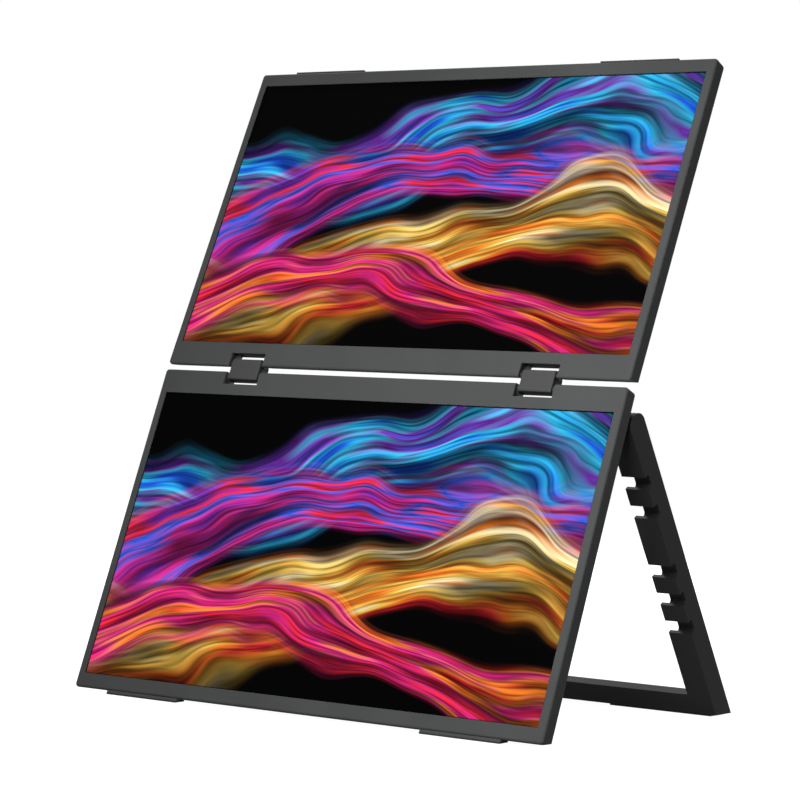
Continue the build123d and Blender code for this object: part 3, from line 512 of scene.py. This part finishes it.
# Housing screws
# Six cold-formed machine screws with chamfered heads and cross recesses, blackened, sunk in the back
# of the housing. They pull it against the tray of the lower screen.
shank_radius = 0.001
head_height = 0.0008
head_chamfer = 0.00025
recess_arm = 0.0009
recess_half = 0.00026
recess_depth = 0.0006
recess_taper = 0.7
ring_steps = 24


def solid_boxes(name):
    mesh = bmesh.new()
    mesh.from_mesh(node[name].data)
    bmesh.ops.remove_doubles(mesh, verts=mesh.verts, dist=weld_distance)
    flat = lower_frame.inverted()
    waiting = set(mesh.verts)
    boxes = []
    while waiting:
        solid = [waiting.pop()]
        for vertex in solid:
            for edge in vertex.link_edges:
                other = edge.other_vert(vertex)
                if other in waiting:
                    waiting.remove(other)
                    solid.append(other)
        spots = [flat @ vertex.co for vertex in solid]
        low = Vector([min(spot[axis] for spot in spots) for axis in range(3)])
        high = Vector([max(spot[axis] for spot in spots) for axis in range(3)])
        boxes.append((low, high))
    mesh.free()
    return sorted(boxes, key=lambda box: (round(box[0].x, 4), round(box[0].y, 4)))


def ring_points(middle, radius):
    points = []
    for step in range(ring_steps):
        turn = 2 * math.pi * step / ring_steps
        points.append((middle[0] + radius * math.cos(turn), middle[1] + radius * math.sin(turn)))
    return points


def cross_points(middle, arm, half):
    outline = (
        (half, half), (half, arm), (-half, arm), (-half, half), (-arm, half), (-arm, -half),
        (-half, -half), (-half, -arm), (half, -arm), (half, -half), (arm, -half), (arm, half),
    )
    return [(middle[0] + x, middle[1] + y) for x, y in outline]


def row_of(mesh, points, level):
    return [mesh.verts.new(lower_frame @ Vector((x, y, level))) for x, y in points]


def skin(mesh, first, second):
    for index in range(len(first)):
        after = (index + 1) % len(first)
        mesh.faces.new((first[index], first[after], second[after], second[index]))


def loop_edges(mesh, row):
    edges = []
    for index in range(len(row)):
        pair = (row[index], row[(index + 1) % len(row)])
        edges.append(mesh.edges.get(pair) or mesh.edges.new(pair))
    return edges


def new_piece(name, mesh, finish, body):
    bmesh.ops.recalc_face_normals(mesh, faces=mesh.faces)
    data = bpy.data.meshes.new(name)
    mesh.to_mesh(data)
    mesh.free()
    piece = bpy.data.objects.new(name, data)
    bpy.context.scene.collection.objects.link(piece)
    data.materials.append(finish)
    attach(piece, body)
    return piece


screw_mesh = bmesh.new()
for low, high in solid_boxes("housing_screws"):
    spot = (low + high) / 2
    head_radius = (high.x - low.x) / 2
    head_top = low.z
    head_seat = head_top + head_height
    side_end = head_top + head_chamfer
    recess_end = head_top + recess_depth
    shank_end = row_of(screw_mesh, ring_points(spot, shank_radius), high.z)
    shank_top = row_of(screw_mesh, ring_points(spot, shank_radius), head_seat)
    head_under = row_of(screw_mesh, ring_points(spot, head_radius), head_seat)
    head_side = row_of(screw_mesh, ring_points(spot, head_radius), side_end)
    head_rim = row_of(screw_mesh, ring_points(spot, head_radius - head_chamfer), head_top)
    recess = row_of(screw_mesh, cross_points(spot, recess_arm, recess_half), head_top)
    floor_outline = cross_points(spot, recess_taper * recess_arm, recess_taper * recess_half)
    recess_floor = row_of(screw_mesh, floor_outline, recess_end)
    screw_mesh.faces.new(shank_end)
    skin(screw_mesh, shank_end, shank_top)
    skin(screw_mesh, shank_top, head_under)
    skin(screw_mesh, head_under, head_side)
    skin(screw_mesh, head_side, head_rim)
    rims = loop_edges(screw_mesh, head_rim) + loop_edges(screw_mesh, recess)
    bmesh.ops.triangle_fill(screw_mesh, use_beauty=True, edges=rims)
    skin(screw_mesh, recess, recess_floor)
    screw_mesh.faces.new(recess_floor)
screw_black = plated_steel(
    "screw_black", dark=(0.025, 0.025, 0.026), light=(0.045, 0.045, 0.046), roughness=0.35,
)
recessed_screws = new_piece("recessed_screws", screw_mesh, screw_black, "lower_screen")
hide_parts("housing_screws")

# Kickstand
# A die-cast U of L section with five plug notches in each arm, deburred and powder coated
# in a charcoal darker than the casings. It turns on two pins in white bearing bushes.
stand_edge = 0.0004
stand_coat = grained(
    "stand_coat", dark=(0.017, 0.017, 0.0175), light=(0.024, 0.024, 0.0245),
    roughness=0.58, grain_scale=1800.0, grain_height=0.00012, shine=0.068,
)
dress(stand_coat, "kickstand_frame")
ease_edges(stand_edge, "kickstand_frame")
bush_plastic = grained(
    "bush_plastic", dark=(0.6, 0.6, 0.58), light=(0.7, 0.7, 0.68),
    roughness=0.45, grain_scale=900.0, grain_height=0.00005,
)
dress(bush_plastic, "stand_bushes")

# Feet and pads
# Moulded rubber strips in the grey of the casings, glued under the lower screen, along the top
# of the upper one and under the stand's bar. Painted shade darkens the feet towards the table, where the
# contact shadow falls.
pad_edge = 0.0003
foot_shade_low = 0.0003
foot_shade_high = 0.0016
foot_shade_strength = 0.4


# Painted shade: the base colour gets darker towards the table, standing in for the contact shadow.
def shaded_below(finish, low, high):
    tree = finish.node_tree
    height = separated(tree, rest_place(tree))["Z"]
    painted_foot_shade = math_step(tree, "SUBTRACT", 1.0, smooth_step(tree, height, low, high))
    shade_tint(tree, painted_foot_shade, foot_shade_strength)


foot_rubber = grained(
    "foot_rubber", dark=(0.074, 0.074, 0.075), light=(0.090, 0.090, 0.091),
    roughness=0.7, grain_scale=1500.0, grain_height=0.0002, shine=0.03,
)
shaded_below(foot_rubber, foot_shade_low, foot_shade_high)
dress(foot_rubber, "lower_feet", "upper_edge_pads")
sole_rubber = grained(
    "sole_rubber", dark=(0.016, 0.016, 0.016), light=(0.026, 0.026, 0.026),
    roughness=0.8, grain_scale=1500.0, grain_height=0.0002, shine=0.1,
)
dress(sole_rubber, "stand_foot_pads")
ease_edges(pad_edge, "lower_feet", "upper_edge_pads", "stand_foot_pads")

# Sockets
# Three oval sockets and a flat one drawn from plated steel, and a moulded audio jack, all soldered
# to the board's edge. Each steel socket has a black moulded tongue with a row of gilt contacts in it.
socket_plating = grained(
    "socket_plating", dark=(0.35, 0.35, 0.36), light=(0.5, 0.5, 0.5),
    roughness=0.3, grain_scale=700.0, grain_height=0.00003,
)
socket_plating.node_tree.nodes["Principled BSDF"].inputs["Metallic"].default_value = 1.0
dress(socket_plating, "usb_c_ports", "mini_hdmi_port")
jack_mould = grained(
    "jack_mould", dark=(0.012, 0.012, 0.012), light=(0.022, 0.022, 0.022),
    roughness=0.5, grain_scale=1500.0, grain_height=0.0001,
)
dress(jack_mould, "audio_jack")
tongue_set_back = 0.00065
tongue_length = 0.00595
tongue_nose = 0.00045
tongue_half_depth = 0.0004
tongue_side_gap = {"usb_c_ports": 0.00115, "mini_hdmi_port": 0.00135}
nose_width_share = 0.93
nose_depth_share = 0.6
contact_pitch = 0.0005
contact_start = 0.22 * contact_pitch
contact_end = 0.28 * contact_pitch
tongue_black = (0.014, 0.014, 0.014, 1)
contact_gilt = (0.75, 0.52, 0.20, 1)


def bar_row(mesh, middle, across, half, half_depth):
    corners = ((-half, -half_depth), (half, -half_depth), (half, half_depth), (-half, half_depth))
    spots = [Vector((across, middle.y + up, middle.z + out)) for up, out in corners]
    return [mesh.verts.new(lower_frame @ spot) for spot in spots]


tongue_mesh = bmesh.new()
for name, side_gap in tongue_side_gap.items():
    for low, high in solid_boxes(name):
        middle = (low + high) / 2
        half = (high.y - low.y) / 2 - side_gap
        nose_end = high.x - tongue_set_back
        root = bar_row(tongue_mesh, middle, nose_end - tongue_length, half, tongue_half_depth)
        shoulder = bar_row(tongue_mesh, middle, nose_end - tongue_nose, half, tongue_half_depth)
        nose_half = nose_width_share * half
        nose = bar_row(tongue_mesh, middle, nose_end, nose_half, nose_depth_share * tongue_half_depth)
        tongue_mesh.faces.new(root)
        skin(tongue_mesh, root, shoulder)
        skin(tongue_mesh, shoulder, nose)
        tongue_mesh.faces.new(nose)
tongue_mould = grained(
    "tongue_mould", dark=(0.010, 0.010, 0.010), light=(0.018, 0.018, 0.018),
    roughness=0.45, grain_scale=1500.0, grain_height=0.00005,
)
tongue_tree = tongue_mould.node_tree
tongue_shader = tongue_tree.nodes["Principled BSDF"]
tongue_up = flat_place(tongue_tree, lower_frame)["Y"]
contact_step = math_step(tongue_tree, "PINGPONG", tongue_up, contact_pitch / 2)
contact_mask = smooth_step(tongue_tree, contact_step, contact_start, contact_end)
contact_mix = tongue_tree.nodes.new("ShaderNodeValToRGB")
contact_mix.color_ramp.elements[0].color = tongue_black
contact_mix.color_ramp.elements[1].color = contact_gilt
tongue_tree.links.new(contact_mask, contact_mix.inputs["Fac"])
tongue_tree.links.new(contact_mix.outputs["Color"], tongue_shader.inputs["Base Color"])
tongue_tree.links.new(contact_mask, tongue_shader.inputs["Metallic"])
new_piece("socket_tongues", tongue_mesh, tongue_mould, "lower_screen")

# Buttons and lamp
# Four satin keys moulded in dark plastic, held by their flanges in the left wall of the housing,
# each on its push switch and printed with its sign, with a clear light pipe that glows blue beside them.
key_plastic = grained(
    "key_plastic", dark=(0.030, 0.030, 0.032), light=(0.040, 0.040, 0.042),
    roughness=0.35, grain_scale=1500.0, grain_height=0.00005,
)
key_names = ("power_button", "menu_button", "plus_button", "minus_button")
key_edge = 0.0002
dress(key_plastic, *key_names)
ease_edges(key_edge, *key_names)
sign_rise = 0.00005
sign_reach = 0.0008
sign_half = 0.00015
menu_pitch = 0.00055
ring_opening = math.radians(32)
ring_bar_half = 0.6 * sign_reach
arc_steps = 24
sign_ink = grained(
    "sign_ink", dark=(0.38, 0.38, 0.38), light=(0.45, 0.45, 0.45),
    roughness=0.6, grain_scale=1500.0, grain_height=0.00002,
)


def bar_points(out, up, half_out, half_up):
    return [
        (out - half_out, up - half_up), (out + half_out, up - half_up),
        (out + half_out, up + half_up), (out - half_out, up + half_up),
    ]


def arc_points(radius, half_width, opening):
    points = []
    for side, reach in ((1, radius + half_width), (-1, radius - half_width)):
        for step in range(arc_steps + 1):
            part = step / arc_steps if side > 0 else 1 - step / arc_steps
            turn = math.pi / 2 + opening + part * (2 * math.pi - 2 * opening)
            points.append((reach * math.cos(turn), reach * math.sin(turn)))
    return points


def key_sign(name, key, body, outlines):
    low, high = solid_boxes(key)[0]
    middle = (low + high) / 2
    mesh = bmesh.new()
    for outline in outlines:
        rows = []
        for across in (low.x + sign_rise, low.x - sign_rise):
            spots = [Vector((across, middle.y + up, middle.z + out)) for out, up in outline]
            rows.append([mesh.verts.new(lower_frame @ spot) for spot in spots])
        mesh.faces.new(rows[0])
        skin(mesh, rows[0], rows[1])
        mesh.faces.new(rows[1])
    new_piece(name, mesh, sign_ink, body)


open_ring = arc_points(sign_reach, sign_half, ring_opening)
ring_bar = bar_points(0, sign_reach, sign_half, ring_bar_half)
level_bar = bar_points(0, 0, sign_reach, sign_half)
menu_bars = [bar_points(0, rise, sign_reach, sign_half) for rise in (-menu_pitch, 0, menu_pitch)]
cross_bars = cross_points((0, 0), sign_reach, sign_half)
key_sign("power_sign", "power_button", "power_key", [open_ring, ring_bar])
key_sign("menu_sign", "menu_button", "menu_key", menu_bars)
key_sign("plus_sign", "plus_button", "plus_key", [cross_bars])
key_sign("minus_sign", "minus_button", "minus_key", [level_bar])
lamp_plastic = grained(
    "lamp_plastic", dark=(0.6, 0.65, 0.7), light=(0.75, 0.78, 0.8),
    roughness=0.2, grain_scale=300.0, grain_height=0.00002,
)
lamp_shader = lamp_plastic.node_tree.nodes["Principled BSDF"]
lamp_blue = (0.08, 0.35, 1.0, 1)
lamp_glow = 0.8
lamp_shader.inputs["Emission Color"].default_value = lamp_blue
lamp_shader.inputs["Emission Strength"].default_value = lamp_glow
dress(lamp_plastic, "status_lamp")
switch_mould = grained(
    "switch_mould", dark=(0.012, 0.012, 0.012), light=(0.022, 0.022, 0.022),
    roughness=0.5, grain_scale=1500.0, grain_height=0.0001,
)
dress(switch_mould, "push_switches")

# Boards, speakers and backlights
# Glass-fibre boards under green solder mask with black moulded chips, thin speakers behind the slots,
# and white acrylic light guides behind the panels. All of it is shut in the housings.
solder_mask = grained(
    "solder_mask", dark=(0.01, 0.07, 0.03), light=(0.015, 0.10, 0.045),
    roughness=0.4, grain_scale=500.0, grain_height=0.00005,
)
dress(solder_mask, "main_board", "lower_timing_board", "upper_timing_board")
chip_mould = grained(
    "chip_mould", dark=(0.010, 0.010, 0.010), light=(0.020, 0.020, 0.020),
    roughness=0.55, grain_scale=1200.0, grain_height=0.0001,
)
dress(chip_mould, "board_chips")
speaker_mesh = grained(
    "speaker_mesh", dark=(0.008, 0.008, 0.008), light=(0.018, 0.018, 0.018),
    roughness=0.6, grain_scale=3000.0, grain_height=0.0002,
)
dress(speaker_mesh, "speakers")
light_guide = grained(
    "light_guide", dark=(0.75, 0.75, 0.75), light=(0.85, 0.85, 0.85),
    roughness=0.5, grain_scale=300.0, grain_height=0.00005,
)
dress(light_guide, "lower_backlight", "upper_backlight")
